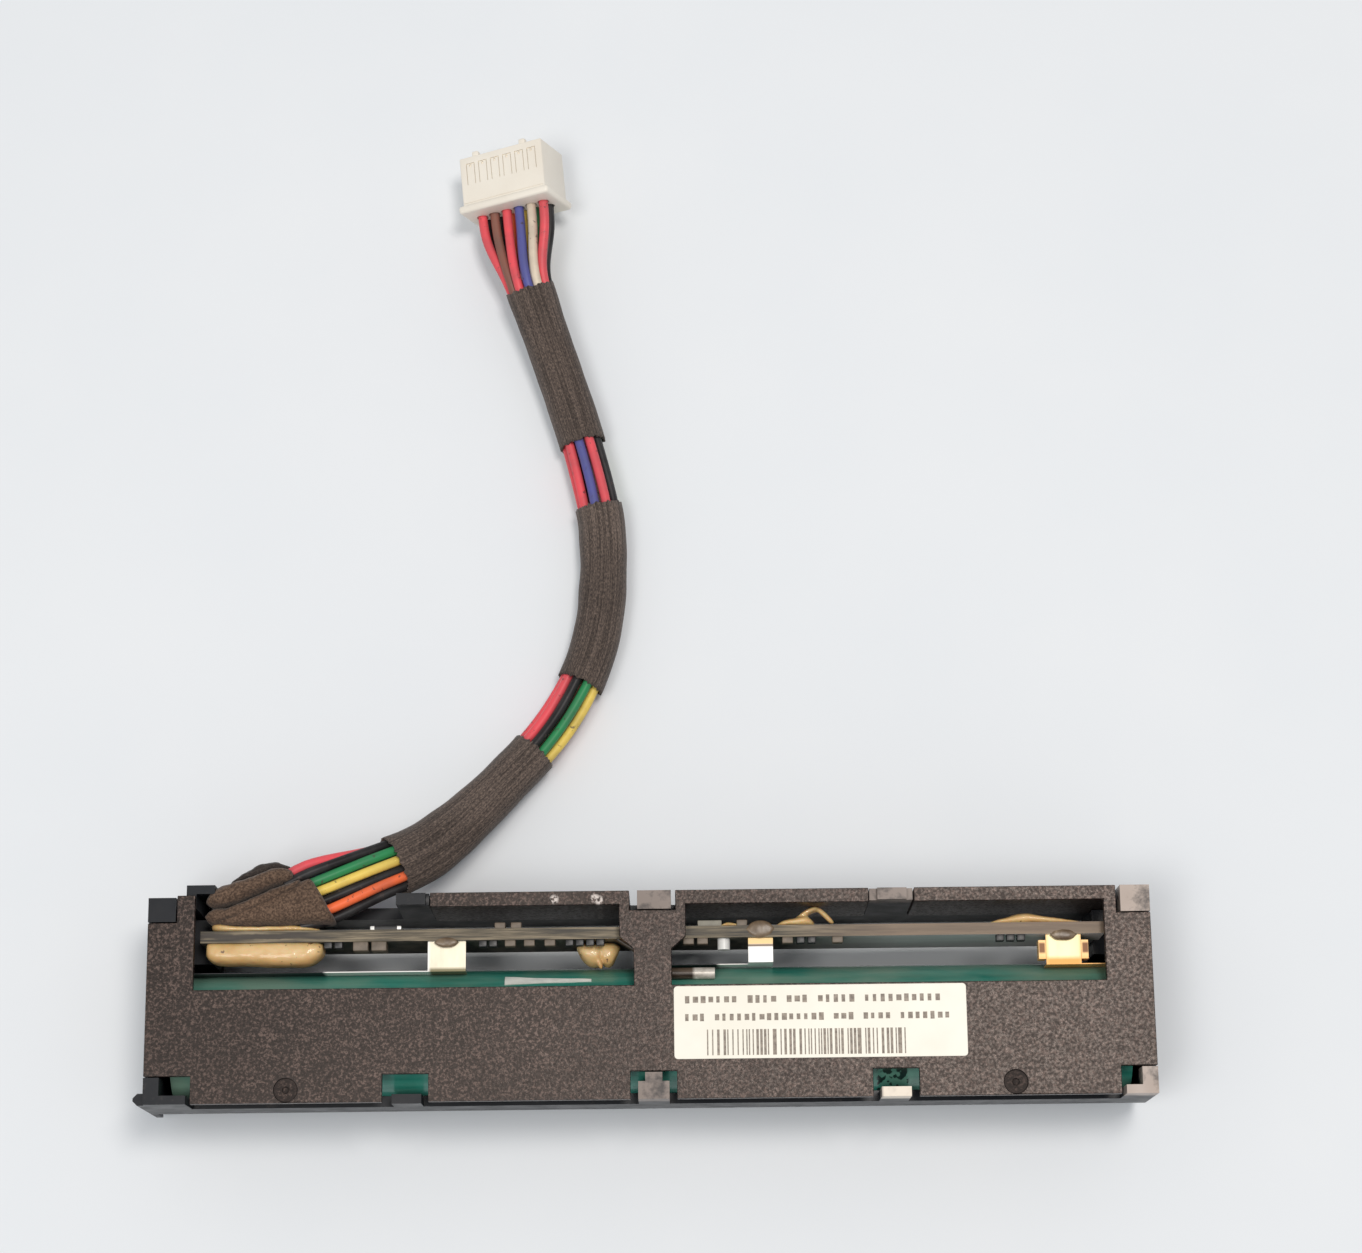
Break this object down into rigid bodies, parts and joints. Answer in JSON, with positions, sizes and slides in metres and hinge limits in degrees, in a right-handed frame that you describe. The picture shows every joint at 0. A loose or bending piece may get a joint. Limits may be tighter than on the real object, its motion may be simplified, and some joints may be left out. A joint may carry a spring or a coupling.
{
  "type": "raid battery module",
  "caption": "Backup battery module of a storage controller: lithium cells in a slim two-shell case with windows, a board, and a sleeved lead with a two-row plug",
  "frame": {"origin": "on the case's back face, in the middle of the case's length and width, where the module rests", "axes": "+X along the case towards its right end, +Y towards the side where the lead leaves, +Z out of the front face"},
  "size_m": [0.1375, 0.1425, 0.0206],
  "materials": {
    "case_front": "fine matte grain",
    "case_back": "smooth, half gloss, beige light on its edges",
    "cell_can": "nickel plated",
    "cell_film": "teal shrink film, glossy",
    "paper": "plain",
    "nickel": "bright nickel strip",
    "brass": "satin brass strip",
    "solder": "solder with brown flux",
    "board": "olive edge of glass cloth board",
    "chip_light": "light ceramic bodies with tinned ends",
    "chip_brown": "brown ceramic bodies with tinned ends",
    "chip_dark": "moulded black",
    "shunt_grey": "light grey",
    "drum_white": "white",
    "bead": "greyish sleeve over a bead",
    "bead_leads": "dark",
    "glue": "cream, with brown specks",
    "label": "warm white, with grey print as plain bars",
    "cloth_wrap": "brown-grey matte cloth",
    "wires": "twelve coloured wires",
    "sleeve": "dark woven sleeve",
    "plug": "natural nylon",
    "terminals": "tinned brass"
  },
  "bodies": {
    "root": {"front_shell": "case_front", "back_shell": "case_back", "cell_left": "cell_can", "cell_right": "cell_can", "cell_film_left": "cell_film", "cell_film_right": "cell_film", "insulating_rings": "paper", "paper_strip": "paper", "strip_left": "nickel", "strip_middle": "nickel", "strip_right": "brass", "tab_solder": "solder", "circuit_board": "board", "chip_resistors": "chip_light", "chip_capacitors": "chip_brown", "power_transistors": "chip_brown", "controller_chip": "chip_dark", "current_shunt": "shunt_grey", "round_capacitor": "drum_white", "thermistor": "bead", "thermistor_leads": "bead_leads", "glue_wire_tails": "glue", "glue_wire_roots": "glue", "glue_thermistor_root": "glue", "glue_upper_left": "glue", "glue_upper_right": "glue", "label": "label", "wrap_at_board": "cloth_wrap", "wire_bundle": "wires", "wire_sleeves": "sleeve", "plug_housing": "plug", "plug_terminals": "terminals"}
  },
  "joints": []
}
